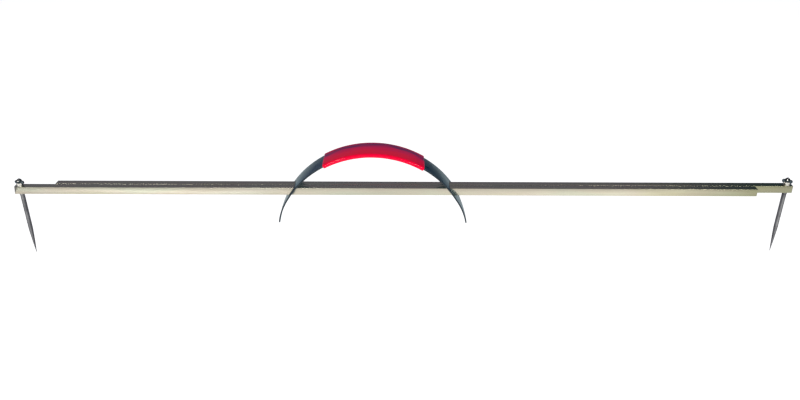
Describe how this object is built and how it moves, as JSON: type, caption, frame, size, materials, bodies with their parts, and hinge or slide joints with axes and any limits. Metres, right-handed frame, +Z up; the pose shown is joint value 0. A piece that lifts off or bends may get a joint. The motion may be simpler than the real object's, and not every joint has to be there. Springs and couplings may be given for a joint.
{
  "type": "adjustable spiked carrying bar",
  "caption": "Hand-held spreader bar: square bars slide through a sprung bow with a soft grip, and a spike hangs from each outer end under a wing nut.",
  "frame": {"origin": "middle of the bow's crown, inside the grip, where the hand holds", "axes": "+X along the bars, towards the rear bar's spike; +Z up; +Y from the front bar to the rear bar"},
  "size_m": [1.0225, 0.04, 0.155],
  "materials": {
    "bright_bar": "bright drawn steel, fine lengthwise brushing",
    "spring_steel": "satin spring steel strip, faint temper tint",
    "spike_steel": "turned dark steel",
    "nut_steel": "polished, darkened steel",
    "plated": "bright zinc plate",
    "grip": "glossy red soft vinyl"
  },
  "bodies": {
    "bow": {"bow_strip": "spring_steel", "grip_sleeve": "grip"},
    "front_bar": {"front_bar": "bright_bar", "left_washer": "plated"},
    "rear_bar": {"rear_bar": "bright_bar", "right_washer": "plated"},
    "left_spike": {"left_spike": "spike_steel"},
    "right_spike": {"right_spike": "spike_steel"},
    "left_nut": {"left_wing_nut": "nut_steel"},
    "right_nut": {"right_wing_nut": "nut_steel"}
  },
  "joints": [
    {"name": "front_bar_slide", "type": "slide", "parent": "bow", "child": "front_bar", "axis": [1, 0, 0], "range_m": [-0.385, 0.325]},
    {"name": "rear_bar_slide", "type": "slide", "parent": "bow", "child": "rear_bar", "axis": [1, 0, 0], "range_m": [-0.41, 0.298]},
    {"name": "left_nut_turn", "type": "hinge", "parent": "front_bar", "child": "left_nut", "pos_m": [-0.461, -0.00515, -0.047], "axis": [0, 0, 1], "range_deg": [0, 1081]},
    {"name": "left_spike_drop", "type": "slide", "parent": "front_bar", "child": "left_spike", "axis": [0, 0, -1], "range_m": [0, 0.0021]},
    {"name": "right_nut_turn", "type": "hinge", "parent": "rear_bar", "child": "right_nut", "pos_m": [0.5475, 0.00515, -0.047], "axis": [0, 0, 1], "range_deg": [0, 1081]},
    {"name": "right_spike_drop", "type": "slide", "parent": "rear_bar", "child": "right_spike", "axis": [0, 0, -1], "range_m": [0, 0.0021]}
  ],
  "couplings": [
    {"joint": "left_nut_turn", "follows": "left_spike_drop", "rad_per_m": 8976},
    {"joint": "right_nut_turn", "follows": "right_spike_drop", "rad_per_m": 8976}
  ]
}
